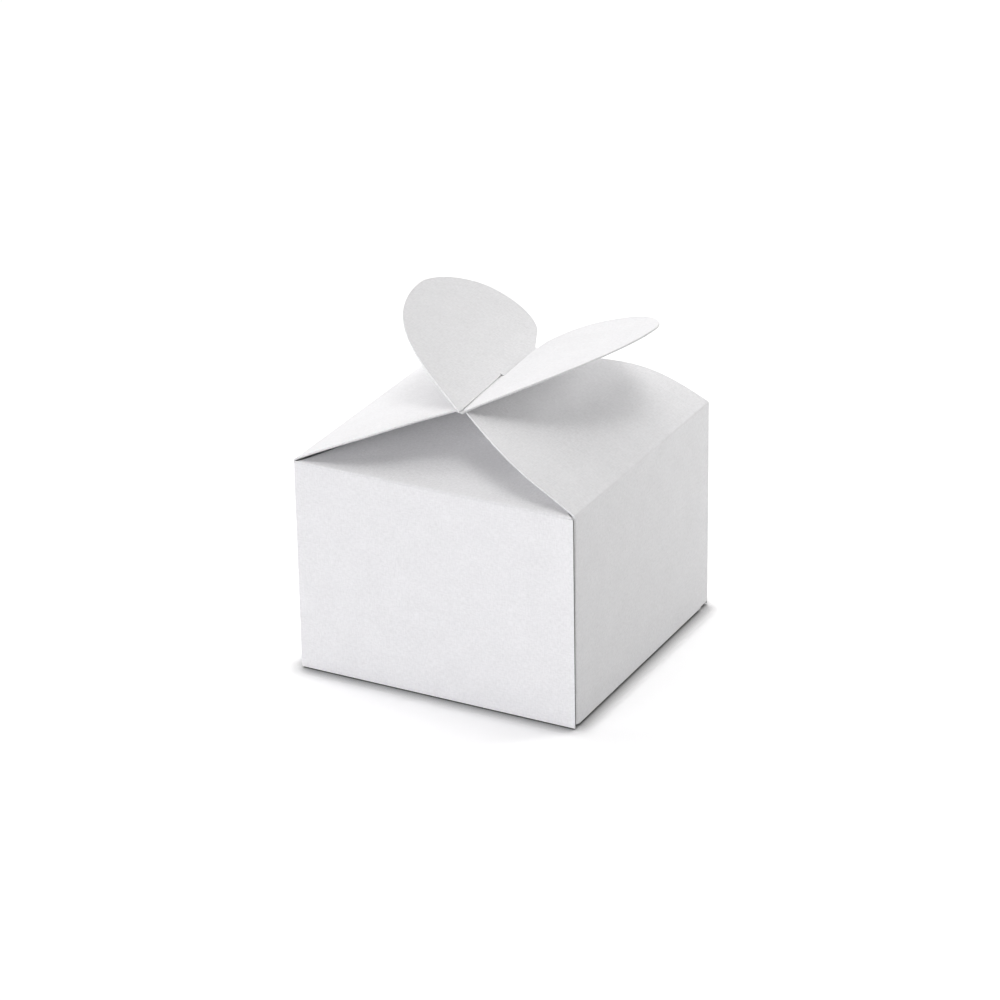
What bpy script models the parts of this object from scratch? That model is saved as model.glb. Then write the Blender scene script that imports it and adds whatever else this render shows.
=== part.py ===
"""Favour box with a heart closure, folded and glued from one die-cut blank of white card.

The blank is modelled panel by panel, each panel a thin plate that ends a little short of
its creases, because a crease is the line about which the next panel turns. Four walls and
a glue tab make the sleeve. A tuck bottom closes it below: a panel with a tuck tab over two
dust flaps. On top two plain inner flaps lie under two heart flaps. Each heart flap ends in
half a heart with a slit through half of its neck, and the two slits hook into each other,
so that the halves stand up crossed and make the whole heart.

X runs along the front wall to the right, Y from the front wall to the back wall, Z up. The
origin is on the table under the middle of the box. All sizes are in metres.
"""

import math

import bmesh
import bpy
from mathutils import Matrix, Vector
from mathutils.geometry import interpolate_bezier

# The sleeve
BODY_WIDTH = 0.070            # outside, along X
BODY_DEPTH = 0.070            # outside, along Y
WALL_HEIGHT = 0.052           # table to the creases of the heart flaps
BOARD = 0.0004                # thickness of the card
FIT_GAP = 0.0003              # air between two panels that lie on each other
CREASE_GAP = 0.0003           # crease line to the edge of each panel beside it
GLUE_TAB_WIDTH = 0.012
GLUE_TAB_BEVEL = 0.0035       # how much shorter the tab is at the top and bottom of its free edge

# The tuck bottom
BOTTOM_PANEL_INSET = 0.0002   # panel edge inside the outer face of each side wall
TUCK_TAB_LENGTH = 0.012
TUCK_TAB_INSET = 0.0015       # tab edge inside the inner face of each side wall
TUCK_TAB_CORNER = 0.006
TUCK_TAB_LEAN = math.radians(6)
DUST_FLAP_LENGTH = 0.022
DUST_FLAP_FRONT_SET = 0.002   # from the front wall's inner face, at the crease
DUST_FLAP_BACK_SET = 0.003    # from the tuck tab's inner face
DUST_FLAP_MITRE = math.radians(40)
DUST_FLAP_CORNER = 0.003

# The inner flaps
INNER_FLAP_SLOPE = math.radians(12)
INNER_FLAP_INSET = 0.0012     # flap edge inside the outer face of each side wall, at the crease
INNER_FLAP_TIP_WIDTH = 0.018
INNER_FLAP_CORNER = 0.005
INNER_FLAPS_APART = 0.0055    # between the tips of the front and back flap

# The heart flaps, from the crease to the neck where they cross
NECK_RISE = 0.0132            # height of the crossing above the creases
NECK_FRONT = 0.021            # middle of the box to the front end of the neck
NECK_BACK = 0.020             # middle of the box to the back end of the neck
HEART_FLAP_INSET = 0.0004     # flap edge inside the outer face of the walls, at the crease
LEFT_FLAP_ARCH = 0.0006       # how far the flap's middle stands above a flat one
RIGHT_FLAP_ARCH = 0.0018
FLAP_SHOULDER_SHARE = 1.65    # exponent of the side curve: a larger one keeps the flap wide for longer
FLAP_ROWS = 18
FLAP_COLUMNS = 12

# The half hearts beyond the neck, measured along their own plane from the crossing
LOBE_SLOPE = math.radians(21)
LOBE_REACH = 0.032
LOBE_SHOULDER_Y = 0.0132      # how far behind the middle the half heart is longest
LOBE_CROWN_Y = 0.0302         # the round top, behind the middle
LOBE_CROWN_REACH = 0.0145
LOBE_POINT_ANGLE = math.radians(24)
LOBE_CLEFT_ANGLE = math.radians(62)
POINT_HANDLE_SHARE = 0.50     # Bezier handles, as shares of the reach
SHOULDER_LOW_HANDLE_SHARE = 0.36
SHOULDER_TOP_HANDLE_SHARE = 0.34
CROWN_OUT_HANDLE_SHARE = 0.28
CROWN_IN_HANDLE_SHARE = 0.24
CLEFT_HANDLE_SHARE = 0.20
OUTLINE_STEPS = 12
CORNER_STEPS = 5

WHITE_CARD = (0.90, 0.90, 0.91)
CARD_ROUGHNESS = 0.85

# Places that follow from the sizes
HALF_WIDTH = BODY_WIDTH / 2
HALF_DEPTH = BODY_DEPTH / 2
HALF_BOARD = BOARD / 2
MITRE_SET = FIT_GAP / math.sqrt(2)
SIDE_CREASE_X = HALF_WIDTH - HALF_BOARD
END_CREASE_Y = HALF_DEPTH - HALF_BOARD
HEART_CREASE_Z = WALL_HEIGHT
INNER_CREASE_Z = WALL_HEIGHT - BOARD
BOTTOM_CREASE_Z = HALF_BOARD
DUST_CREASE_Z = BOARD + FIT_GAP + HALF_BOARD
TAB_FACE_Y = -HALF_DEPTH + BOARD + FIT_GAP
TUCK_CREASE_Y = HALF_DEPTH - BOARD - FIT_GAP - HALF_BOARD
NECK_Z = HEART_CREASE_Z + NECK_RISE
CROSSING_SET = (BOARD + FIT_GAP) / (2 * math.sin(LOBE_SLOPE))


def clear_scene():
    """Remove every object that the new file came with."""
    for obj in list(bpy.data.objects):
        bpy.data.objects.remove(obj, do_unlink=True)


def new_collection(name):
    collection = bpy.data.collections.new(name)
    bpy.context.scene.collection.children.link(collection)
    return collection


def paint(obj, name):
    """Give a panel its own white card."""
    material = bpy.data.materials.new(name + "_card")
    material.use_nodes = True
    shader = material.node_tree.nodes["Principled BSDF"]
    shader.inputs["Base Color"].default_value = (*WHITE_CARD, 1)
    shader.inputs["Roughness"].default_value = CARD_ROUGHNESS
    shader.inputs["Metallic"].default_value = 0
    obj.data.materials.append(material)


def frame(origin, along, across):
    """Matrix of a panel's own frame: X along the panel from its crease, Y across it."""
    along = Vector(along).normalized()
    across = Vector(across).normalized()
    turn = Matrix((along, across, along.cross(across))).transposed()
    return Matrix.Translation(Vector(origin)) @ turn.to_4x4()


def world_place(obj):
    """Matrix of an object in the world, through its parents."""
    if obj.parent is None:
        return obj.matrix_basis
    return world_place(obj.parent) @ obj.matrix_basis


def place(obj, matrix, parent=None):
    """Stand an object at a place in the world, as the child of another if one is given."""
    if parent is None:
        obj.matrix_basis = matrix
    else:
        obj.parent = parent
        obj.matrix_basis = world_place(parent).inverted() @ matrix


def plate(name, outline, thickness, matrix, parent=None):
    """Flat panel: a filled 2D curve through the outline, extruded to both sides of its plane."""
    curve = bpy.data.curves.new(name, "CURVE")
    curve.dimensions = "2D"
    curve.fill_mode = "BOTH"
    curve.extrude = thickness / 2
    spline = curve.splines.new("POLY")
    spline.points.add(len(outline) - 1)
    for point, (x, y) in zip(spline.points, outline):
        point.co = (x, y, 0, 1)
    spline.use_cyclic_u = True
    obj = bpy.data.objects.new(name, curve)
    BOX.objects.link(obj)
    place(obj, matrix, parent)
    paint(obj, name)
    return obj


def rounded(corners):
    """Outline with round corners, from (x, y, radius) corners: each arc starts and ends on the two sides."""
    points = []
    for index, (x, y, radius) in enumerate(corners):
        here = Vector((x, y))
        if radius == 0:
            points.append(here)
            continue
        before = (Vector(corners[index - 1][:2]) - here).normalized()
        after = (Vector(corners[(index + 1) % len(corners)][:2]) - here).normalized()
        half_angle = before.angle(after) / 2
        centre = here + (before + after).normalized() * radius / math.sin(half_angle)
        start = here + before * radius / math.tan(half_angle) - centre
        sweep = start.angle_signed(here + after * radius / math.tan(half_angle) - centre)
        for step in range(CORNER_STEPS + 1):
            points.append(centre + Matrix.Rotation(-sweep * step / CORNER_STEPS, 2) @ start)
    return [tuple(point) for point in points]


def upright(name, plan, low, high):
    """Wall: its plan outline, extruded from one height to another."""
    middle = (low + high) / 2
    return plate(name, plan, high - low, frame((0, 0, middle), (1, 0, 0), (0, 1, 0)))


def build_sleeve():
    """Four walls with mitred folds, a raw edge on the front wall, and the glue tab behind that edge."""
    outer_x = HALF_WIDTH - MITRE_SET
    inner_x = outer_x - BOARD
    outer_y = HALF_DEPTH - MITRE_SET
    inner_y = outer_y - BOARD
    inside_x = HALF_WIDTH - BOARD
    inside_y = HALF_DEPTH - BOARD
    side_low = DUST_CREASE_Z + CREASE_GAP
    side_high = HEART_CREASE_Z - CREASE_GAP
    end_high = INNER_CREASE_Z - CREASE_GAP
    front = [(-outer_x, -HALF_DEPTH), (HALF_WIDTH, -HALF_DEPTH), (HALF_WIDTH, -inside_y), (-inner_x, -inside_y)]
    upright("front_wall", front, BOTTOM_CREASE_Z + CREASE_GAP, end_high)
    right = [(HALF_WIDTH, TAB_FACE_Y), (HALF_WIDTH, outer_y), (inside_x, inner_y), (inside_x, TAB_FACE_Y)]
    upright("right_wall", right, side_low, side_high)
    back = [(-inner_x, inside_y), (inner_x, inside_y), (outer_x, HALF_DEPTH), (-outer_x, HALF_DEPTH)]
    upright("back_wall", back, BOARD, end_high)
    left = [(-HALF_WIDTH, -outer_y), (-inside_x, -inner_y), (-inside_x, inner_y), (-HALF_WIDTH, outer_y)]
    upright("left_wall", left, side_low, side_high)

    tab_start = inside_x - FIT_GAP
    tab_end = HALF_WIDTH - GLUE_TAB_WIDTH
    tab = [
        (tab_start, side_low),
        (tab_start, side_high),
        (tab_end, side_high - GLUE_TAB_BEVEL),
        (tab_end, side_low + GLUE_TAB_BEVEL),
    ]
    plate("glue_tab", tab, BOARD, frame((0, TAB_FACE_Y + HALF_BOARD, 0), (1, 0, 0), (0, 0, 1)))


def build_bottom():
    """Tuck bottom: the panel on the front wall's crease, its tuck tab, and the two dust flaps above it."""
    half_panel = HALF_WIDTH - BOTTOM_PANEL_INSET
    reach = TUCK_CREASE_Y - CREASE_GAP + END_CREASE_Y
    panel_outline = [
        (CREASE_GAP, -half_panel),
        (reach, -half_panel),
        (reach, half_panel),
        (CREASE_GAP, half_panel),
    ]
    panel_frame = frame((0, -END_CREASE_Y, BOTTOM_CREASE_Z), (0, 1, 0), (-1, 0, 0))
    panel = plate("bottom_panel", panel_outline, BOARD, panel_frame)

    half_tab = HALF_WIDTH - BOARD - TUCK_TAB_INSET
    tab_outline = rounded([
        (CREASE_GAP, -half_tab, 0),
        (TUCK_TAB_LENGTH, -half_tab, TUCK_TAB_CORNER),
        (TUCK_TAB_LENGTH, half_tab, TUCK_TAB_CORNER),
        (CREASE_GAP, half_tab, 0),
    ])
    # The tab folds inwards about the line where the inner faces of tab and panel would meet
    half_fold = (math.pi / 2 - TUCK_TAB_LEAN) / 2
    fold_y = TUCK_CREASE_Y - HALF_BOARD / math.tan(half_fold)
    fold_line = bpy.data.objects.new("tuck_tab_fold_line", None)
    BOX.objects.link(fold_line)
    place(fold_line, Matrix.Translation((0, fold_y, BOTTOM_CREASE_Z + HALF_BOARD)), panel)
    lean = (0, -math.sin(TUCK_TAB_LEAN), math.cos(TUCK_TAB_LEAN))
    tab_frame = frame((0, TUCK_CREASE_Y, BOTTOM_CREASE_Z), lean, (1, 0, 0))
    plate("bottom_tuck_tab", tab_outline, BOARD, tab_frame, fold_line)

    front_edge = -HALF_DEPTH + BOARD + DUST_FLAP_FRONT_SET
    back_edge = TUCK_CREASE_Y - HALF_BOARD - DUST_FLAP_BACK_SET
    mitre = DUST_FLAP_LENGTH * math.tan(DUST_FLAP_MITRE)
    for name, side in (("left_dust_flap", -1), ("right_dust_flap", 1)):
        outline = rounded([
            (CREASE_GAP, side * front_edge, 0),
            (DUST_FLAP_LENGTH, side * (front_edge + mitre), DUST_FLAP_CORNER),
            (DUST_FLAP_LENGTH, side * back_edge, DUST_FLAP_CORNER),
            (CREASE_GAP, side * back_edge, 0),
        ])
        flap_frame = frame((side * SIDE_CREASE_X, 0, DUST_CREASE_Z), (-side, 0, 0), (0, side, 0))
        plate(name, outline, BOARD, flap_frame)


def build_inner_flaps():
    """Two plain flaps that rise from the front and back wall under the heart flaps."""
    length = (END_CREASE_Y - INNER_FLAPS_APART / 2) / math.cos(INNER_FLAP_SLOPE)
    half_crease = HALF_WIDTH - INNER_FLAP_INSET
    half_tip = INNER_FLAP_TIP_WIDTH / 2
    outline = rounded([
        (CREASE_GAP, -half_crease, 0),
        (length, -half_tip, INNER_FLAP_CORNER),
        (length, half_tip, INNER_FLAP_CORNER),
        (CREASE_GAP, half_crease, 0),
    ])
    for name, side in (("front_inner_flap", -1), ("back_inner_flap", 1)):
        along = (0, -side * math.cos(INNER_FLAP_SLOPE), math.sin(INNER_FLAP_SLOPE))
        flap_frame = frame((0, side * END_CREASE_Y, INNER_CREASE_Z), along, (side, 0, 0))
        plate(name, outline, BOARD, flap_frame)


def flap_half_width(share, neck):
    """Half width of a heart flap at a share of its run: a half cosine from the crease width to the neck."""
    crease = HALF_DEPTH - HEART_FLAP_INSET
    narrowing = (1 - math.cos(math.pi * share ** FLAP_SHOULDER_SHARE)) / 2
    return crease - (crease - neck) * narrowing


def flap_height(share, arch):
    """Height of a heart flap above its crease: a cubic that meets the lobe's plane with the same slope."""
    run = SIDE_CREASE_X
    end_slope = math.tan(LOBE_SLOPE)
    start_slope = end_slope + 8 * arch / run
    rising = NECK_RISE * (3 * share ** 2 - 2 * share ** 3)
    from_start = run * start_slope * (share - 2 * share ** 2 + share ** 3)
    into_end = run * end_slope * (share ** 3 - share ** 2)
    return rising + from_start + into_end


def build_heart_flap(name, side, arch):
    """Arched flap from a side wall's crease to the neck: a grid laid on the height and width curves, with Solidify."""
    first = CREASE_GAP / SIDE_CREASE_X
    last = (SIDE_CREASE_X - CROSSING_SET) / SIDE_CREASE_X
    grid = bmesh.new()
    bmesh.ops.create_grid(grid, x_segments=FLAP_ROWS, y_segments=FLAP_COLUMNS, size=1)
    for vert in grid.verts:
        share = first + (last - first) * (vert.co.x + 1) / 2
        neck = NECK_BACK if vert.co.y * -side > 0 else NECK_FRONT
        height = flap_height(share, arch)
        vert.co = (share * SIDE_CREASE_X, vert.co.y * flap_half_width(share, neck), height)
    mesh = bpy.data.meshes.new(name)
    grid.to_mesh(mesh)
    grid.free()
    mesh.shade_smooth()
    mesh.set_sharp_from_angle(angle=math.radians(40))
    obj = bpy.data.objects.new(name, mesh)
    BOX.objects.link(obj)
    place(obj, frame((side * SIDE_CREASE_X, 0, HEART_CREASE_Z), (-side, 0, 0), (0, -side, 0)))
    shell = obj.modifiers.new("card", "SOLIDIFY")
    shell.thickness = BOARD
    shell.offset = 0
    paint(obj, name)
    return obj


def bezier(start, start_handle, end_handle, end):
    """Points of one Bezier stretch, without its last point."""
    knots = [Vector((*point, 0)) for point in (start, start_handle, end_handle, end)]
    return [(point.x, point.y) for point in interpolate_bezier(*knots, OUTLINE_STEPS + 1)[:-1]]


def half_heart():
    """Rounded side of half a heart, from its point at the front of the neck to the cleft at the back."""
    point = (CROSSING_SET, -NECK_FRONT)
    shoulder = (LOBE_REACH, LOBE_SHOULDER_Y)
    crown = (LOBE_CROWN_REACH, LOBE_CROWN_Y)
    cleft = (CROSSING_SET, NECK_BACK)
    point_handle = LOBE_REACH * POINT_HANDLE_SHARE
    cleft_handle = LOBE_REACH * CLEFT_HANDLE_SHARE
    leaving = (
        point[0] + point_handle * math.cos(LOBE_POINT_ANGLE),
        point[1] + point_handle * math.sin(LOBE_POINT_ANGLE),
    )
    arriving = (
        cleft[0] + cleft_handle * math.cos(LOBE_CLEFT_ANGLE),
        cleft[1] + cleft_handle * math.sin(LOBE_CLEFT_ANGLE),
    )
    below_shoulder = (shoulder[0], shoulder[1] - LOBE_REACH * SHOULDER_LOW_HANDLE_SHARE)
    above_shoulder = (shoulder[0], shoulder[1] + LOBE_REACH * SHOULDER_TOP_HANDLE_SHARE)
    outside_crown = (crown[0] + LOBE_REACH * CROWN_OUT_HANDLE_SHARE, crown[1])
    inside_crown = (crown[0] - LOBE_REACH * CROWN_IN_HANDLE_SHARE, crown[1])
    side = bezier(point, leaving, below_shoulder, shoulder)
    top = bezier(shoulder, above_shoulder, outside_crown, crown)
    return side + top + bezier(crown, inside_crown, arriving, cleft) + [cleft]


def build_heart_lobe(name, side, parent):
    """Half heart with its hook: over half of the neck the card runs back through the other flap's slit.

    The left lobe hooks in the front half and is slit in the back half, and the right lobe the other way round.
    """
    hook_end = FIT_GAP - CROSSING_SET
    slit_end = FIT_GAP / 2
    if side < 0:
        hook = [(CROSSING_SET, -slit_end), (hook_end, -slit_end), (hook_end, -NECK_FRONT)]
    else:
        hook = [(hook_end, NECK_BACK), (hook_end, slit_end), (CROSSING_SET, slit_end)]
    outline = [(reach, -side * y) for reach, y in half_heart() + hook]
    along = (-side * math.cos(LOBE_SLOPE), 0, math.sin(LOBE_SLOPE))
    return plate(name, outline, BOARD, frame((0, 0, NECK_Z), along, (0, -side, 0)), parent)


def build_closure():
    """Both heart flaps, each with its half heart."""
    for word, side, arch in (("left", -1, LEFT_FLAP_ARCH), ("right", 1, RIGHT_FLAP_ARCH)):
        flap = build_heart_flap(word + "_heart_flap", side, arch)
        build_heart_lobe(word + "_heart_lobe", side, flap)


clear_scene()
BOX = new_collection("heart_favour_box")
build_sleeve()
build_bottom()
build_inner_flaps()
build_closure()
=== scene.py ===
"""Heart favour box of white felt-marked card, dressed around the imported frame.

X runs along the front wall to the right, Y from the front wall to the back wall, Z up, in metres.
"""

import math

import bpy
import numpy as np
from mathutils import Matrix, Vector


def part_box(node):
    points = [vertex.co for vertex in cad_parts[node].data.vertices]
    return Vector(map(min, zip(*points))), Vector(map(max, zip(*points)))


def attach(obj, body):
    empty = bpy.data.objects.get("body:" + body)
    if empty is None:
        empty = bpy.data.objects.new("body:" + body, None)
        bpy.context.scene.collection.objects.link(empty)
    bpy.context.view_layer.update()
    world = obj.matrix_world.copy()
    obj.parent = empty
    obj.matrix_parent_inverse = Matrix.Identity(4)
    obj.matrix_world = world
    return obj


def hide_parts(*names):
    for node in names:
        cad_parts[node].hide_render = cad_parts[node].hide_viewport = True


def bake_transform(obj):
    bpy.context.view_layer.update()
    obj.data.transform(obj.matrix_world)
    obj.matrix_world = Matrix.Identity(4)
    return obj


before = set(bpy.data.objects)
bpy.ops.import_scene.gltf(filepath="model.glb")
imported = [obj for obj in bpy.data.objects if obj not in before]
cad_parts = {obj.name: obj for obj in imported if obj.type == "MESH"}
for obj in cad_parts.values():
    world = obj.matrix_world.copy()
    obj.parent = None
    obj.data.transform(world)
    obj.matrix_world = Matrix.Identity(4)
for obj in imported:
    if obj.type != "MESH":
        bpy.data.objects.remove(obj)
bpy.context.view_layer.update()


# Sleeve: the four walls and the glue tab, one strip of white uncoated folding card with four
# upright folds. It starts at the front wall's raw right edge, runs left round the box, and ends in
# the tab stuck with glue behind that edge, where the right wall's round fold leaves a dark groove.
# That raw edge carries painted shade, which deepens the groove's dark line.
CARD_THICKNESS = 0.0004
FACE_WHITE = (0.902, 0.900, 0.906)
EDGE_WHITE = (0.82, 0.82, 0.82)
CARD_ROUGHNESS = 0.88
CARD_GLOSS = 0.25
FELT_PITCH = 0.00036
FELT_LENGTH = 3
FELT_DEPTH = 0.000045
FELT_STRENGTH = 0.9
FIBRE_PITCH = 0.00016
FIBRE_LENGTH = 1.6
FACE_FIBRES = 0.7
EDGE_FIBRES = 2.0
CLOUD_SIZE = 0.006
CLOUD_WEIGHT = 0.2
FELT_WEIGHT = 0.4
MOTTLE_TINTS = ((0.3, 0.94), (0.7, 1.05))
GRAIN_SHARPNESS = 0.55
SEAM_PAINTED_SHADE = 0.25
SEAM_PAINTED_SHADE_REACH = 0.0002
WELDS_PER_METRE = 1e7
RIM_ROUND = 0.00003
RIM_STEPS = 2
RIM_ANGLE = math.radians(50)

HALF_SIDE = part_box("front_wall")[1].x
HALF_CARD = CARD_THICKNESS / 2
MIDDLE = HALF_SIDE - HALF_CARD
FOLD_RADIUS = 0.00024
FOLD_STEPS = 9
BOTTOM_RADIUS = 0.0009
SIDE_BOTTOM_RADIUS = 0.0006
TAB_MIDDLE_Y = (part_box("glue_tab")[0].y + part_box("glue_tab")[1].y) / 2
TAB_END_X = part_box("glue_tab")[0].x
TAB_BEVEL = 0.0035
HEART_CREASE_Z = 0.052
INNER_CREASE_Z = 0.0516
BOTTOM_CREASE_Z = 0.0002
DUST_CREASE_Z = 0.00055
BACK_EDGE_Z = 0.0004
NECK_RISE = 0.0133
FLAP_ARCH = 0.0008
HEART_RISE_SLOPE = (NECK_RISE + 4 * FLAP_ARCH) / MIDDLE
INNER_RISE_ANGLE = math.radians(8)
SEAM_BOW = 0.0003
SEAM_BOW_WIDTH = 0.004
SEAM_BOW_LOW = 0.2
SLEEVE_SPACING = 0.002
SLEEVE_ROWS = 30


def card_material(name, white, open_fibres, shaded_seam=False):
    """Matt card: the felt ribs of its paper machine run both ways, with loose fibres between, as bump,
    and its white is faintly clouded. The cut edges are a little more open than the faces. A shaded
    seam edge is darkened with painted shade at the start of the strip, where the flat map's length is
    nought. It stands in for the dark crack beside the tab."""
    material = bpy.data.materials.new(name)
    material.use_nodes = True
    nodes = material.node_tree.nodes
    links = material.node_tree.links
    shader = nodes["Principled BSDF"]
    shader.inputs["Roughness"].default_value = CARD_ROUGHNESS
    shader.inputs["Specular IOR Level"].default_value = CARD_GLOSS
    shader.inputs["Sheen Weight"].default_value = 0.0
    flat = nodes.new("ShaderNodeUVMap")
    flat.uv_map = "flat"

    def grain(along, across, detail):
        """Noise on the flat map, stretched to the two lengths."""
        stretch = nodes.new("ShaderNodeMapping")
        stretch.inputs["Scale"].default_value = (1 / along, 1 / across, 1)
        noise = nodes.new("ShaderNodeTexNoise")
        noise.noise_dimensions = "2D"
        noise.inputs["Scale"].default_value = 1
        noise.inputs["Detail"].default_value = detail
        noise.inputs["Roughness"].default_value = GRAIN_SHARPNESS
        links.new(flat.outputs["UV"], stretch.inputs["Vector"])
        links.new(stretch.outputs["Vector"], noise.inputs["Vector"])
        return noise.outputs["Fac"]

    def blend(operation, first, second):
        """One sum of two values, each a socket or a number."""
        node = nodes.new("ShaderNodeMath")
        node.operation = operation
        for socket, value in zip(node.inputs, (first, second)):
            if isinstance(value, (int, float)):
                socket.default_value = value
            else:
                links.new(value, socket)
        return node.outputs["Value"]

    rib_up = grain(FELT_PITCH, FELT_PITCH * FELT_LENGTH, 1)
    rib_across = grain(FELT_PITCH * FELT_LENGTH, FELT_PITCH, 1)
    fibre = grain(FIBRE_PITCH, FIBRE_PITCH * FIBRE_LENGTH, 2)
    cloud = grain(CLOUD_SIZE, CLOUD_SIZE, 3)
    felt = blend("ADD", rib_up, rib_across)
    height = blend("ADD", felt, blend("MULTIPLY", fibre, open_fibres))
    bump = nodes.new("ShaderNodeBump")
    bump.inputs["Strength"].default_value = FELT_STRENGTH
    bump.inputs["Distance"].default_value = FELT_DEPTH
    links.new(height, bump.inputs["Height"])
    links.new(bump.outputs["Normal"], shader.inputs["Normal"])

    mottle = blend("ADD", blend("MULTIPLY", cloud, CLOUD_WEIGHT), blend("MULTIPLY", felt, FELT_WEIGHT))
    tint = nodes.new("ShaderNodeValToRGB")
    for stop, (position, share) in zip(tint.color_ramp.elements, MOTTLE_TINTS):
        stop.position = position
        stop.color = (*(share * value for value in white), 1)
    links.new(mottle, tint.inputs["Fac"])
    if not shaded_seam:
        links.new(tint.outputs["Color"], shader.inputs["Base Color"])
        return material

    # Painted shade: the colour is darkened where the flat map's length is nearly nought, at the strip's raw
    # starting edge.
    place = nodes.new("ShaderNodeSeparateXYZ")
    links.new(flat.outputs["UV"], place.inputs["Vector"])
    seam_shade_factor = nodes.new("ShaderNodeMapRange")
    seam_shade_factor.inputs["From Max"].default_value = SEAM_PAINTED_SHADE_REACH
    seam_shade_factor.inputs["To Min"].default_value = SEAM_PAINTED_SHADE
    links.new(place.outputs["X"], seam_shade_factor.inputs["Value"])
    shade = nodes.new("ShaderNodeVectorMath")
    shade.operation = "SCALE"
    links.new(tint.outputs["Color"], shade.inputs[0])
    links.new(seam_shade_factor.outputs["Result"], shade.inputs["Scale"])
    links.new(shade.outputs["Vector"], shader.inputs["Base Color"])
    return material


card_face = card_material("white_felt_card", FACE_WHITE, FACE_FIBRES)
card_edge = card_material("cut_card_edge", EDGE_WHITE, EDGE_FIBRES)
# Cut edge with painted shade at the front wall's raw right edge, for the dark crack there.
shaded_seam_edge = card_material("shaded_seam_card_edge", EDGE_WHITE, EDGE_FIBRES, True)


def card_piece(name, patches, edge=card_edge):
    """Sheet of card from grids of points on its middle surface, each with the same grid laid flat.

    A face joins each four neighbouring points of a grid. Points at the same place are made one,
    so grids that meet are joined, and a grid may close to a point.
    """
    points = np.concatenate([grid.reshape(-1, 3) for grid, flat in patches])
    flats = np.concatenate([flat.reshape(-1, 2) for grid, flat in patches])
    quads = []
    start = 0
    for grid, flat in patches:
        index = np.arange(start, start + grid[..., 0].size).reshape(grid.shape[:2])
        corners = (index[:-1, :-1], index[1:, :-1], index[1:, 1:], index[:-1, 1:])
        quads.append(np.stack(corners, -1).reshape(-1, 4))
        start += index.size
    quads = np.concatenate(quads)
    cells = np.round(points * WELDS_PER_METRE).astype(np.int64)
    first, place = np.unique(cells, axis=0, return_index=True, return_inverse=True)[1:]
    merged = place.reshape(-1)[quads]
    kept = merged != np.roll(merged, -1, axis=1)
    solid = kept.sum(1) > 2
    merged, kept, quads = merged[solid], kept[solid], quads[solid]
    sizes = kept.sum(1)

    mesh = bpy.data.meshes.new(name)
    mesh.vertices.add(len(first))
    mesh.vertices.foreach_set("co", points[first].ravel())
    mesh.loops.add(int(sizes.sum()))
    mesh.loops.foreach_set("vertex_index", merged[kept])
    mesh.polygons.add(len(sizes))
    mesh.polygons.foreach_set("loop_start", np.cumsum(sizes) - sizes)
    mesh.update(calc_edges=True)
    mesh.uv_layers.new(name="flat").data.foreach_set("uv", flats[quads][kept].ravel())
    mesh.shade_smooth()
    mesh.materials.append(card_face)
    mesh.materials.append(edge)
    piece = bpy.data.objects.new(name, mesh)
    bpy.context.scene.collection.objects.link(piece)
    board = piece.modifiers.new("board", "SOLIDIFY")
    board.thickness = CARD_THICKNESS
    board.offset = 0
    board.material_offset_rim = 1
    rim = piece.modifiers.new("rim", "BEVEL")
    rim.width = RIM_ROUND
    rim.segments = RIM_STEPS
    rim.limit_method = "ANGLE"
    rim.angle_limit = RIM_ANGLE
    rim.harden_normals = True
    rim.use_clamp_overlap = False
    return piece


def folded_path(corners, radius, spacing):
    """Points along a path in a plane, and the length run at each: straight runs between corners, and
    at each inner corner an arc of the radius, centre + radius * (cos, sin) of evenly spaced angles."""
    corners = np.asarray(corners, float)
    stretches = []
    for index in range(1, len(corners) - 1):
        here = corners[index]
        back = corners[index - 1] - here
        ahead = corners[index + 1] - here
        back /= np.linalg.norm(back)
        ahead /= np.linalg.norm(ahead)
        half = math.acos(np.clip(back @ ahead, -1, 1)) / 2
        centre = here + (back + ahead) / np.linalg.norm(back + ahead) * radius / math.sin(half)
        begin = here + back * radius / math.tan(half) - centre
        end = here + ahead * radius / math.tan(half) - centre
        turn = math.atan2(begin[0] * end[1] - begin[1] * end[0], begin @ end)
        angle = math.atan2(begin[1], begin[0]) + turn * np.linspace(0, 1, FOLD_STEPS)
        stretches.append(centre + radius * np.stack([np.cos(angle), np.sin(angle)], -1))
    ends = [corners[:1]] + stretches + [corners[-1:]]
    path = [ends[0]]
    for before, after in zip(ends[:-1], ends[1:]):
        gap = after[0] - before[-1]
        count = max(2, int(np.linalg.norm(gap) / spacing))
        share = np.linspace(0, 1, count + 1)[1:-1, None]
        path += [before[-1] + share * gap, after]
    path = np.concatenate(path)
    steps = np.linalg.norm(np.diff(path, axis=0), axis=1)
    return path, np.concatenate([[0], np.cumsum(steps)])


def fold_run(turn):
    """Length from the crease line to where the fold starts: radius * tan(half the turn)."""
    return FOLD_RADIUS * math.tan(turn / 2)


inner_fold = fold_run(math.pi / 2 - INNER_RISE_ANGLE)
heart_turn = math.pi / 2 - math.atan(HEART_RISE_SLOPE)
heart_fold = fold_run(heart_turn)
inner_top = INNER_CREASE_Z - inner_fold
heart_top = HEART_CREASE_Z - heart_fold
front_low = BOTTOM_CREASE_Z + BOTTOM_RADIUS
side_low = DUST_CREASE_Z + SIDE_BOTTOM_RADIUS
plan, girth = folded_path(
    [
        (HALF_SIDE, -MIDDLE),
        (-MIDDLE, -MIDDLE),
        (-MIDDLE, MIDDLE),
        (MIDDLE, MIDDLE),
        (MIDDLE, TAB_MIDDLE_Y),
        (TAB_END_X, TAB_MIDDLE_Y),
    ],
    FOLD_RADIUS,
    SLEEVE_SPACING,
)
corner_x = MIDDLE - FOLD_RADIUS
halfway = girth[-1] / 2
on_front = (plan[:, 1] < -corner_x) & (np.abs(plan[:, 0]) <= HALF_SIDE) & (girth < halfway)
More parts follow.
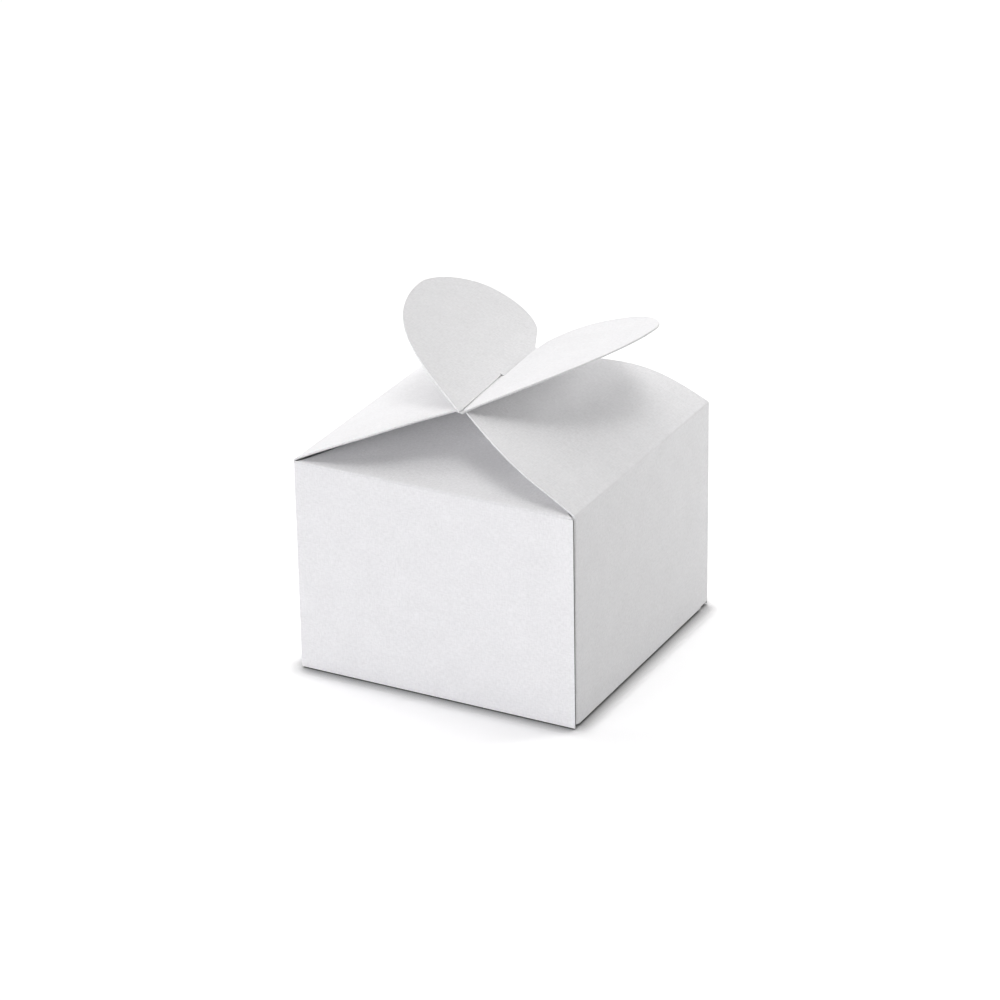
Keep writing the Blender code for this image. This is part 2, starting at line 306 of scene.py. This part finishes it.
on_left = (plan[:, 0] < -corner_x) & ~on_front
on_back = (plan[:, 1] > corner_x) & ~on_left
on_tab = (plan[:, 0] < corner_x) & (girth > halfway)
tab_share = np.clip((corner_x - plan[:, 0]) / (corner_x - TAB_END_X), 0, 1)
low = np.select(
    [on_front, on_left, on_back, on_tab],
    [front_low, side_low, BACK_EDGE_Z, side_low + TAB_BEVEL * tab_share],
    side_low,
)
high = np.select(
    [on_front, on_left, on_back, on_tab],
    [inner_top, heart_top, inner_top, heart_top - TAB_BEVEL * tab_share],
    heart_top,
)
up = np.linspace(0, 1, SLEEVE_ROWS)
sleeve_z = low[:, None] + (high - low)[:, None] * up
seam_bow = SEAM_BOW * on_front * np.clip((plan[:, 0] - HALF_SIDE) / SEAM_BOW_WIDTH + 1, 0, 1) ** 2
sleeve_y = plan[:, 1:] - seam_bow[:, None] * (SEAM_BOW_LOW + (1 - SEAM_BOW_LOW) * up)
sleeve_grid = np.stack([np.broadcast_to(plan[:, :1], sleeve_z.shape), sleeve_y, sleeve_z], -1)
sleeve_flat = np.stack([np.broadcast_to(girth[:, None], sleeve_z.shape), sleeve_z], -1)
sleeve = card_piece("sleeve", [(sleeve_grid, sleeve_flat)], shaded_seam_edge)
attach(sleeve, "walls")
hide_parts("front_wall", "right_wall", "back_wall", "left_wall", "glue_tab")


# Dust flaps: the side walls' lower ends, creased and folded in above the bottom panel. Each is
# cut at a slant beside the front wall, so that it clears the panel's fold, and square beside the
# tuck tab. A flap's sides follow a curve of half width over the run from its crease.
LEFT_GIRTH = HALF_SIDE + 2 * MIDDLE
BACK_GIRTH = LEFT_GIRTH + 2 * MIDDLE
RIGHT_GIRTH = BACK_GIRTH + 2 * MIDDLE
DUST_LENGTH = 0.022
DUST_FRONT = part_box("left_dust_flap")[0].y
DUST_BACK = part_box("left_dust_flap")[1].y
DUST_MITRE = math.radians(40)
DUST_CORNER = 0.003
DUST_LIFT = 0.00014
DUST_LIFT_RUN = 0.0009
DUST_FLAT_START = -0.03
DUST_ROWS = 30
FLAP_COLUMNS = 34


def side_curve(run, start, taper, length, radius):
    """Half width at each run from the crease: a straight taper, start - run * tan(taper), then a
    corner arc that is tangent to the taper and to the flap's end, centre + sqrt(r^2 - (run - r0)^2)."""
    straight = start - run * math.tan(taper)
    arc_run = length - radius
    arc_centre = start - arc_run * math.tan(taper) - radius / math.cos(taper)
    reach = np.clip(radius ** 2 - (run - arc_run) ** 2, 0, None)
    return np.where(run > arc_run + radius * math.sin(taper), arc_centre + np.sqrt(reach), straight)


def flap_grid(profile, first_side, second_side, columns, origin, along, across, rising, girth_at, flat_start):
    """Grid of a flap: origin + run * along + height * rising + side * across, its sides spread evenly
    between the two side curves. Laid flat, it is the side over the length along the profile."""
    share = np.linspace(0, 1, columns)
    side = first_side[:, None] + (second_side - first_side)[:, None] * share
    grid = (
        np.asarray(origin, float)
        + profile[:, None, :1] * np.asarray(along, float)
        + profile[:, None, 1:2] * np.asarray(rising, float)
        + side[..., None] * np.asarray(across, float)
    )
    steps = np.linalg.norm(np.diff(profile, axis=0), axis=1)
    length = np.concatenate([[0], np.cumsum(steps)])
    flat = np.stack([girth_at + side, np.broadcast_to(flat_start + length[:, None], side.shape)], -1)
    return grid, flat


def creased_profile(rise_angle, length, rows, radius=FOLD_RADIUS):
    """Profile of a flat flap, and the run from the crease at each point: the fold's arc from the wall,
    then straight at the rise angle, closer together towards the tip, length * sin of even angles."""
    turn = math.pi / 2 - rise_angle
    run = radius * math.tan(turn / 2)
    angle = np.linspace(0, turn, FOLD_STEPS)
    arc = np.stack([radius * (1 - np.cos(angle)), -run + radius * np.sin(angle)], -1)
    far = run + (length - run) * np.sin(np.linspace(0, math.pi / 2, rows))
    straight = far[:, None] * np.array([math.cos(rise_angle), math.sin(rise_angle)])
    return np.concatenate([arc[:-1], straight]), np.concatenate([np.zeros(FOLD_STEPS - 1), far])


dust_profile, dust_run = creased_profile(0, DUST_LENGTH, DUST_ROWS, SIDE_BOTTOM_RADIUS)
# The flap is lifted off the panel behind its fold by a smooth step, 3 * share^2 - 2 * share^3.
lift = np.clip((dust_run - SIDE_BOTTOM_RADIUS / 2) / DUST_LIFT_RUN, 0, 1)
dust_profile = dust_profile * (1, -1) + np.stack([0 * lift, DUST_LIFT * lift ** 2 * (3 - 2 * lift)], -1)
dust_front = -side_curve(dust_run, -DUST_FRONT, DUST_MITRE, DUST_LENGTH, DUST_CORNER)
dust_back = side_curve(dust_run, DUST_BACK, 0, DUST_LENGTH, DUST_CORNER)
for word, side, girth_at in (("left", -1, LEFT_GIRTH), ("right", 1, RIGHT_GIRTH)):
    dust_flap = card_piece(word + "_dust_flap_card", [flap_grid(
        dust_profile, dust_front, dust_back, FLAP_COLUMNS,
        (side * MIDDLE, 0, DUST_CREASE_Z), (-side, 0, 0), (0, 1, 0), (0, 0, 1), girth_at, DUST_FLAT_START,
    )])
    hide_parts(word + "_dust_flap")
    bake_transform(dust_flap)


# Bottom panel: the front wall's lower end, folded in under the dust flaps in a wide soft bend.
# Its raw side edges show under the side walls' round folds, and are set in a little behind the
# front fold.
PANEL_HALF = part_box("bottom_panel")[1].x
PANEL_SET_IN = 0.0010
PANEL_SHOULDER = 0.0025
PANEL_ROWS = 60
PANEL_CROWDING = 1.5
PANEL_FLAT_START = -0.001
TUCK_CREASE_Y = 0.0341
TUCK_LEAN = math.radians(6)

tuck_fold = fold_run(math.pi / 2 + TUCK_LEAN)
panel_run = TUCK_CREASE_Y + MIDDLE - tuck_fold
turn_in = np.linspace(0, math.pi / 2, FOLD_STEPS)
panel_arc = BOTTOM_RADIUS * np.stack([1 - np.cos(turn_in), 1 - np.sin(turn_in)], -1)
panel_straight = BOTTOM_RADIUS + (panel_run - BOTTOM_RADIUS) * np.linspace(0, 1, PANEL_ROWS) ** PANEL_CROWDING
panel_profile = np.concatenate([panel_arc[:-1], np.stack([panel_straight, 0 * panel_straight], -1)])
# The sides are set in behind the fold by a smooth step, 3 * share^2 - 2 * share^3.
shoulder = np.clip(panel_profile[:, 0] / PANEL_SHOULDER, 0, 1)
panel_side = PANEL_HALF - PANEL_SET_IN * shoulder ** 2 * (3 - 2 * shoulder)
panel = card_piece("bottom_panel_card", [flap_grid(
    panel_profile, -panel_side, panel_side, FLAP_COLUMNS,
    (0, -MIDDLE, BOTTOM_CREASE_Z), (0, 1, 0), (1, 0, 0), (0, 0, 1), HALF_SIDE, PANEL_FLAT_START,
)])
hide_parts("bottom_panel")
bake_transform(panel)


# Tuck tab: the end of the bottom panel, creased and tucked up inside the back wall. It leans
# forward a little off the wall and has two round corners, so that it slides in.
TUCK_LENGTH = 0.012
TUCK_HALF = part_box("bottom_tuck_tab")[1].x
TUCK_CORNER = 0.006
TUCK_ROWS = 24
TUCK_FLAT_START = -0.08

tuck_profile, tuck_run = creased_profile(-TUCK_LEAN, TUCK_LENGTH, TUCK_ROWS)
tuck_side = side_curve(tuck_run, TUCK_HALF, 0, TUCK_LENGTH, TUCK_CORNER)
tuck_tab = card_piece("tuck_tab_card", [flap_grid(
    tuck_profile, -tuck_side, tuck_side, FLAP_COLUMNS,
    (0, TUCK_CREASE_Y, BOTTOM_CREASE_Z), (0, 0, 1), (1, 0, 0), (0, 1, 0), HALF_SIDE, TUCK_FLAT_START,
)])
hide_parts("bottom_tuck_tab")
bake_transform(tuck_tab)


# Inner flaps: the front and back walls' plain flaps, creased at the walls' tops and tapered so
# that they lie under the heart flaps. They rise gently and curl up a little towards the tip, and
# widen a little at the crease, where they run out into the walls.
INNER_TIP_GAP = 0.00275
INNER_LENGTH = MIDDLE - INNER_TIP_GAP
INNER_CURL = 0.0022
INNER_SIDE_GAP = 0.0012
INNER_HALF = MIDDLE + HALF_CARD - INNER_SIDE_GAP
INNER_TIP_HALF = 0.012
INNER_CORNER = 0.005
INNER_WIDENING = 0.0006
INNER_WIDENING_RUN = 0.0008
INNER_ROWS = 44
INNER_COLUMNS = 50

inner_profile, inner_run = creased_profile(INNER_RISE_ANGLE, INNER_LENGTH, INNER_ROWS)
inner_profile[:, 1] += INNER_CURL * (inner_run / INNER_LENGTH) ** 2
inner_taper = math.atan((INNER_HALF - INNER_TIP_HALF) / INNER_LENGTH)
inner_side = side_curve(inner_run, INNER_HALF, inner_taper, INNER_LENGTH, INNER_CORNER)
inner_side += INNER_WIDENING * np.exp(-inner_run / INNER_WIDENING_RUN)
for word, side, girth_at in (("front", -1, HALF_SIDE), ("back", 1, BACK_GIRTH)):
    inner_flap = card_piece(word + "_inner_flap_card", [flap_grid(
        inner_profile, -inner_side, inner_side, INNER_COLUMNS,
        (0, side * MIDDLE, INNER_CREASE_Z), (0, -side, 0), (1, 0, 0), (0, 0, 1), girth_at, inner_top,
    )])
    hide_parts(word + "_inner_flap")
    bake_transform(inner_flap)


# Heart flaps: each side wall's flap narrows to a neck in the middle of the box and ends in half
# a heart. Half of the neck is slit, and the two slits hook into each other, so that the sheets
# stand up crossed. The left sheet is tilted in the slits, so the line of the crossing lies askew.
NECK_FRONT = 0.0207
NECK_BACK = 0.0172
FLAP_HALF = 0.0346
ARCH_FADE = 8
FRONT_SIDE_QUARTIC = (-2.2840, 4.4213, -1.9374, 0.8001, 0)
BACK_SIDE_EXPONENT = 1.8
LEFT_SLOPE = math.radians(20.7)
RIGHT_SLOPE = math.radians(21)
LEFT_TWIST = -2.8
RIGHT_LEAN = 0.0005
LEAN_RUN = 0.002
CROSSING_TILT = 0.033
TILT_LATENESS = 150
CROSSING_LATENESS = 10
CROSSING_RUN = 0.0035
SLIT_HALF = 0.00055
SLIT_PAST_MIDDLE = 0.00015
NECK_STEP = 0.00006
CENTRE_EXPONENT = 0.7
LOBE_REACH = 0.03173
LOBE_SHOULDER_Y = 0.01678
LOBE_CROWN = (0.01754, 0.03048)
LOBE_POINT_Y = -0.0222
POINT_ANGLE = math.radians(41)
CLEFT_ANGLE = math.radians(63)
POINT_HANDLE = 0.00854
SHOULDER_LOW_HANDLE = 0.0250
SHOULDER_TOP_HANDLE = 0.00563
CROWN_OUT_HANDLE = 0.00797
CROWN_IN_HANDLE = 0.01436
CLEFT_HANDLE = 0.00354
OUTLINE_POINTS = 400
# Columns as shares of half the width, from the cut side, where they are close, to the slit.
HEART_COLUMNS = (0, 0.03, 0.09, *np.linspace(0.16, 1, 14))
HEART_FLAP_ROWS = 60
LOBE_ROWS = 46


def bezier_curve(start, start_handle, end_handle, end):
    """Points of a cubic Bezier stretch: the four points weighted by the Bernstein cubics."""
    share = np.linspace(0, 1, OUTLINE_POINTS)[:, None]
    rest = 1 - share
    weights = (rest ** 3, 3 * rest ** 2 * share, 3 * rest * share ** 2, share ** 3)
    points = (start, start_handle, end_handle, end)
    return sum(weight * np.asarray(point) for weight, point in zip(weights, points))


def half_heart_sides(reach):
    """Front and back side of the half heart at each reach beyond the crossing, read off its outline
    of three Bezier stretches: point to shoulder, cleft to crown, and crown to shoulder."""
    shoulder = (LOBE_REACH, LOBE_SHOULDER_Y)
    long_side = bezier_curve(
        (0, LOBE_POINT_Y),
        (POINT_HANDLE * math.cos(POINT_ANGLE), LOBE_POINT_Y + POINT_HANDLE * math.sin(POINT_ANGLE)),
        (LOBE_REACH, LOBE_SHOULDER_Y - SHOULDER_LOW_HANDLE),
        shoulder,
    )
    inner_top_side = bezier_curve(
        (0, NECK_BACK),
        (CLEFT_HANDLE * math.cos(CLEFT_ANGLE), CLEFT_HANDLE * math.sin(CLEFT_ANGLE) + NECK_BACK),
        (LOBE_CROWN[0] - CROWN_IN_HANDLE, LOBE_CROWN[1]),
        LOBE_CROWN,
    )
    outer_top_side = bezier_curve(
        LOBE_CROWN,
        (LOBE_CROWN[0] + CROWN_OUT_HANDLE, LOBE_CROWN[1]),
        (LOBE_REACH, LOBE_SHOULDER_Y + SHOULDER_TOP_HANDLE),
        shoulder,
    )
    top = np.concatenate([inner_top_side, outer_top_side[1:]])
    return np.interp(reach, long_side[:, 0], long_side[:, 1]), np.interp(reach, top[:, 0], top[:, 1])


def heart_flap(name, nodes, side, slope, twist, tilt, lean, slit_in_front, girth_at):
    """Flap and half heart as one sheet: two grids that share the unslit half of the neck.

    Over the flap, the height above the crease is the straight rise to the neck, plus an arch,
    4 * arch * share * (1 - share) that fades at the neck, plus tilt * y close before the neck. The
    half heart goes on from there by (tan(slope) + twist * y) * distance. The flap's front side
    follows a quartic of the share of the run, its back side half a cosine. Lean moves the half heart
    out, more towards its back side, and the two sheets part by the slit's half width beside a slit.
    """
    half = np.array(HEART_COLUMNS)
    across = np.concatenate([half - 1, 1 - half[::-1]])
    front_half = np.arange(len(across)) < len(half)
    slit = front_half if slit_in_front else ~front_half
    slit_end = SLIT_PAST_MIDDLE if slit_in_front else -SLIT_PAST_MIDDLE
    beside_slit = slit & (across != 0)

    def spread(centre, front_side, back_side):
        """Sides spread from the front to the back side, with one column along the centre."""
        return np.where(
            front_half,
            centre[:, None] + (centre - front_side)[:, None] * across,
            centre[:, None] + (back_side - centre)[:, None] * across,
        )

    def crossing(y):
        """How far beyond the middle the two sheets meet, where their heights are the same."""
        return side * CROSSING_TILT * y / (2 * math.tan(slope))

    def height(x, y):
        """Height above the crease at the distance x from the wall."""
        run = x / MIDDLE
        arch = 4 * FLAP_ARCH * run * (1 - run) * (1 - run ** ARCH_FADE)
        flap = NECK_RISE * run + arch + tilt * y * run ** TILT_LATENESS
        half_heart = NECK_RISE + tilt * y + (math.tan(slope) + twist * y) * (x - MIDDLE)
        return np.where(run < 1, flap, half_heart)

    angle = np.linspace(0, heart_turn, FOLD_STEPS)[:-1]
    arc = np.stack([FOLD_RADIUS * (1 - np.cos(angle)), -heart_fold + FOLD_RADIUS * np.sin(angle)], -1)
    first = heart_fold * math.sin(heart_turn) / MIDDLE
    share = first + (1 - first) * np.linspace(0, 1, HEART_FLAP_ROWS)
    front = (FLAP_HALF - NECK_FRONT) * np.polyval(FRONT_SIDE_QUARTIC, share) - FLAP_HALF
    back_narrowing = (1 - np.cos(math.pi * share ** BACK_SIDE_EXPONENT)) / 2
    back = FLAP_HALF - (FLAP_HALF - NECK_BACK) * back_narrowing
    flap_y = spread(np.full(len(share), slit_end), front, back)
    opening = SLIT_HALF * math.cos(slope) * np.broadcast_to(beside_slit, flap_y.shape).astype(float)
    opening[-1, slit] = SLIT_HALF * math.cos(slope)
    flap_x = share[:, None] * MIDDLE + (crossing(flap_y) - opening) * share[:, None] ** CROSSING_LATENESS
    flap_z = height(flap_x, flap_y)
    arc_y = np.broadcast_to(flap_y[0], (len(arc), len(across)))
    arc_x = np.broadcast_to(arc[:, :1], arc_y.shape)
    arc_z = np.broadcast_to(arc[:, 1:], arc_y.shape)
    run_x = np.concatenate([arc_x, flap_x])
    run_y = np.concatenate([arc_y, flap_y])
    run_z = np.concatenate([arc_z, flap_z])

    reach = LOBE_REACH * np.sin(np.linspace(0, math.pi / 2, LOBE_ROWS))
    lobe_front, lobe_back = half_heart_sides(reach)
    to_middle = (reach / LOBE_REACH) ** CENTRE_EXPONENT
    centre = slit_end + ((lobe_front + lobe_back) / 2 - slit_end) * to_middle
    lobe_y = spread(centre, lobe_front, lobe_back)
    lobe_u = np.broadcast_to(reach[:, None], lobe_y.shape).copy()
    lobe_u += lean * (lobe_y - LOBE_POINT_Y) / (NECK_BACK - LOBE_POINT_Y) * np.minimum(lobe_u / LEAN_RUN, 1)
    opening = SLIT_HALF * np.broadcast_to(beside_slit, lobe_y.shape).astype(float)
    opening[0] = np.where(slit, SLIT_HALF, NECK_STEP)
    near_neck = np.maximum(1 - reach[:, None] / CROSSING_RUN, 0)
    lobe_u += (crossing(lobe_y) / math.cos(slope) + opening) * near_neck
    lobe_x = MIDDLE + lobe_u * math.cos(slope)
    lobe_z = height(lobe_x, lobe_y)
    lobe_x = np.concatenate([np.where(slit, lobe_x[:1], flap_x[-1:]), lobe_x])
    lobe_z = np.concatenate([np.where(slit, lobe_z[:1], flap_z[-1:]), lobe_z])
    lobe_y = np.concatenate([np.where(slit, lobe_y[:1], flap_y[-1:]), lobe_y])

    def laid(x, y, z):
        """Points in the box at the distance x from the wall."""
        return np.stack([side * (MIDDLE - x), y, HEART_CREASE_Z + z], -1)

    def flat(x, y):
        """The same points on the flat sheet."""
        return np.stack([girth_at - side * y, heart_top + x], -1)

    piece = card_piece(name, [
        (laid(run_x, run_y, run_z), flat(run_x, run_y)),
        (laid(lobe_x, lobe_y, lobe_z), flat(lobe_x, lobe_y)),
    ])
    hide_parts(*nodes)
    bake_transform(piece)


heart_flap(
    "left_heart_card", ("left_heart_flap", "left_heart_lobe"),
    side=-1, slope=LEFT_SLOPE, twist=LEFT_TWIST, tilt=CROSSING_TILT, lean=0,
    slit_in_front=False, girth_at=LEFT_GIRTH,
)
heart_flap(
    "right_heart_card", ("right_heart_flap", "right_heart_lobe"),
    side=1, slope=RIGHT_SLOPE, twist=0, tilt=0, lean=RIGHT_LEAN,
    slit_in_front=True, girth_at=RIGHT_GIRTH,
)


# Table: a white table top under the box, which runs on into a white backdrop with no edge. It
# shows white in the picture and throws back a little less light on the box. Close beside what stands
# on it, painted shade from an ambient occlusion node darkens its colour as seen.
TABLE_HALF = 3.0
TABLE_BOUNCE = 0.96
TABLE_SEEN = 1.26
TABLE_PAINTED_SHADE_REACH = 0.0045
TABLE_PAINTED_SHADE_DEPTH = 1.4
TABLE_ROUGHNESS = 0.9

table_corners = [(x * TABLE_HALF, y * TABLE_HALF, 0) for x, y in ((-1, -1), (1, -1), (1, 1), (-1, 1))]
floor_mesh = bpy.data.meshes.new("floor")
floor_mesh.from_pydata(table_corners, [], [(0, 1, 2, 3)])
floor = bpy.data.objects.new("floor", floor_mesh)
bpy.context.scene.collection.objects.link(floor)
table_material = bpy.data.materials.new("white_table")
table_material.use_nodes = True
table_nodes = table_material.node_tree.nodes
table_links = table_material.node_tree.links
table_shader = table_nodes["Principled BSDF"]
table_shader.inputs["Roughness"].default_value = TABLE_ROUGHNESS
table_shader.inputs["Specular IOR Level"].default_value = 0.0


def seen_ray(nodes, links):
    """Fact that is 1 for a ray that the eye sees: from the camera, or by way of a gloss or a pane."""
    path = nodes.new("ShaderNodeLightPath")
    fact = path.outputs["Is Camera Ray"]
    for kind in ("Is Glossy Ray", "Is Transmission Ray"):
        either = nodes.new("ShaderNodeMath")
        either.operation = "MAXIMUM"
        links.new(fact, either.inputs[0])
        links.new(path.outputs[kind], either.inputs[1])
        fact = either.outputs["Value"]
    return fact


# Painted contact shade: ambient occlusion within a few millimetres darkens the table's colour as the camera
# sees it.
painted_contact_shade = table_nodes.new("ShaderNodeAmbientOcclusion")
painted_contact_shade.inputs["Distance"].default_value = TABLE_PAINTED_SHADE_REACH
deepened_contact_shade = table_nodes.new("ShaderNodeMath")
deepened_contact_shade.operation = "POWER"
deepened_contact_shade.inputs[1].default_value = TABLE_PAINTED_SHADE_DEPTH
table_links.new(painted_contact_shade.outputs["AO"], deepened_contact_shade.inputs[0])
brightened = table_nodes.new("ShaderNodeMath")
brightened.operation = "MULTIPLY"
brightened.inputs[1].default_value = TABLE_SEEN
table_links.new(deepened_contact_shade.outputs["Value"], brightened.inputs[0])
table_tone = table_nodes.new("ShaderNodeMapRange")
table_tone.inputs["To Min"].default_value = TABLE_BOUNCE
table_links.new(brightened.outputs["Value"], table_tone.inputs["To Max"])
table_links.new(seen_ray(table_nodes, table_links), table_tone.inputs["Value"])
table_links.new(table_tone.outputs["Result"], table_shader.inputs["Base Color"])
floor_mesh.materials.append(table_material)

world = bpy.data.worlds.new("studio")
world.use_nodes = True
bpy.context.scene.world = world
backdrop = world.node_tree.nodes["Background"]
backdrop.inputs["Color"].default_value = (1, 1, 1, 1)
world.node_tree.links.new(seen_ray(world.node_tree.nodes, world.node_tree.links), backdrop.inputs["Strength"])


# Lights: large soft lights all round, and one lamp behind on the right. A sun's share of 1 would
# show a surface that faces it in its own colour. Each sun has its direction, width in degrees,
# share and hue, and the front ones are a touch cooler.
WARM = (1.0, 0.993, 0.993)
COOL = (0.98, 0.975, 1.01)
SUNS = (
    ("sun_top_wide", (0.0, 0.1, 1.0), 60, 0.30, WARM),
    ("sun_top", (0.12, 0.1, 1.0), 22, 0.12, WARM),
    ("sun_left", (-1.0, 0.1, 0.35), 40, 0.305, WARM),
    ("sun_left_back", (-0.8, 0.6, 0.8), 50, 0.21, WARM),
    ("sun_back", (0.0, 1.0, 0.5), 80, 0.14, WARM),
    ("sun_front", (-0.1, -1.0, 0.1), 24, 0.365, COOL),
    ("sun_front_left", (-0.5, -0.85, 0.3), 30, 0.23, COOL),
)
LAMP_PLACE = (0.32, 0.30, 0.24)
LAMP_WIDTH = 0.2
LAMP_WATTS = 0.68718
NEARLY_UP = (0, 0.001, 1)


def facing(toward, place):
    """Stand of a light at the place, its back to the direction that it comes from."""
    away = np.array(toward) / np.linalg.norm(toward)
    level = np.cross(NEARLY_UP, away)
    level /= np.linalg.norm(level)
    stand = np.eye(4)
    stand[:3] = np.stack([level, np.cross(away, level), away, np.array(place)], -1)
    return stand


for sun_name, toward, wide, share, hue in SUNS:
    sun_data = bpy.data.lights.new(sun_name, "SUN")
    sun_data.angle = math.radians(wide)
    sun_data.energy = math.pi * share
    sun_data.color = hue
    sun = bpy.data.objects.new(sun_name, sun_data)
    bpy.context.scene.collection.objects.link(sun)
    sun.matrix_world = facing(toward, (0, 0, 0)).T.tolist()

lamp_data = bpy.data.lights.new("lamp_right_back", "AREA")
lamp_data.shape = "DISK"
lamp_data.size = LAMP_WIDTH
lamp_data.energy = LAMP_WATTS
lamp = bpy.data.objects.new("lamp_right_back", lamp_data)
bpy.context.scene.collection.objects.link(lamp)
lamp.matrix_world = facing(LAMP_PLACE, LAMP_PLACE).T.tolist()


# Camera: at the photograph's angle and distance, worked out from six corners of the box. It
# stands in front on the right, looks down on the box, and is rolled by a degree.
CAMERA_AZIMUTH = math.radians(27.879)
CAMERA_ELEVATION = math.radians(24.819)
CAMERA_ROLL = math.radians(-0.929)
CAMERA_DISTANCE = 0.90047
CAMERA_TARGET = np.array([-0.001414, 0, 0.034328])
CAMERA_LENS = 141.876
CAMERA_SENSOR = 36

forward = np.array([
    -math.sin(CAMERA_AZIMUTH) * math.cos(CAMERA_ELEVATION),
    math.cos(CAMERA_AZIMUTH) * math.cos(CAMERA_ELEVATION),
    -math.sin(CAMERA_ELEVATION),
])
level_right = np.array([math.cos(CAMERA_AZIMUTH), math.sin(CAMERA_AZIMUTH), 0])
level_up = np.cross(level_right, forward)
roll_right = math.cos(CAMERA_ROLL) * level_right + math.sin(CAMERA_ROLL) * level_up
roll_up = math.cos(CAMERA_ROLL) * level_up - math.sin(CAMERA_ROLL) * level_right
camera_data = bpy.data.cameras.new("camera")
camera_data.lens = CAMERA_LENS
camera_data.sensor_width = CAMERA_SENSOR
camera = bpy.data.objects.new("camera", camera_data)
bpy.context.scene.collection.objects.link(camera)
pose = np.eye(4)
pose[:3] = np.stack([roll_right, roll_up, -forward, CAMERA_TARGET - forward * CAMERA_DISTANCE], -1)
camera.matrix_world = pose.T.tolist()
bpy.context.scene.camera = camera
bpy.context.scene.view_settings.view_transform = "Standard"
